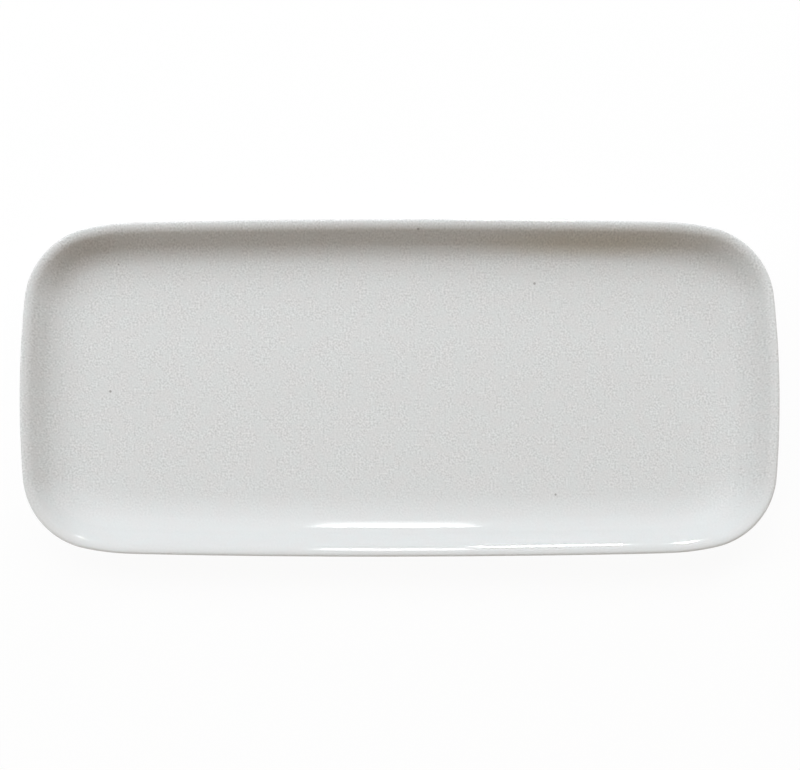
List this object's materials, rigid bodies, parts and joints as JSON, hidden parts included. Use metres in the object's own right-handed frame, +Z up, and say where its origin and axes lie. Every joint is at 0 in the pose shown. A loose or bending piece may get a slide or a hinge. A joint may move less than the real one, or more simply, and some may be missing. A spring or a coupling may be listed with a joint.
{
  "type": "cake platter",
  "caption": "Long shallow rectangular serving platter with rounded corners, a coved glazed well, a rolled rim and a bare foot ring, for a loaf cake or pastries.",
  "frame": {"origin": "on the table, under the middle of the platter", "axes": "+X along the platter's length, +Y across its width, +Z up"},
  "size_m": [0.36, 0.161, 0.022],
  "materials": {
    "bare_stoneware": "matte",
    "white_glaze": "gloss"
  },
  "bodies": {
    "root": {"stoneware_body": "bare_stoneware", "face_glaze": "white_glaze", "base_glaze": "white_glaze"}
  },
  "joints": []
}
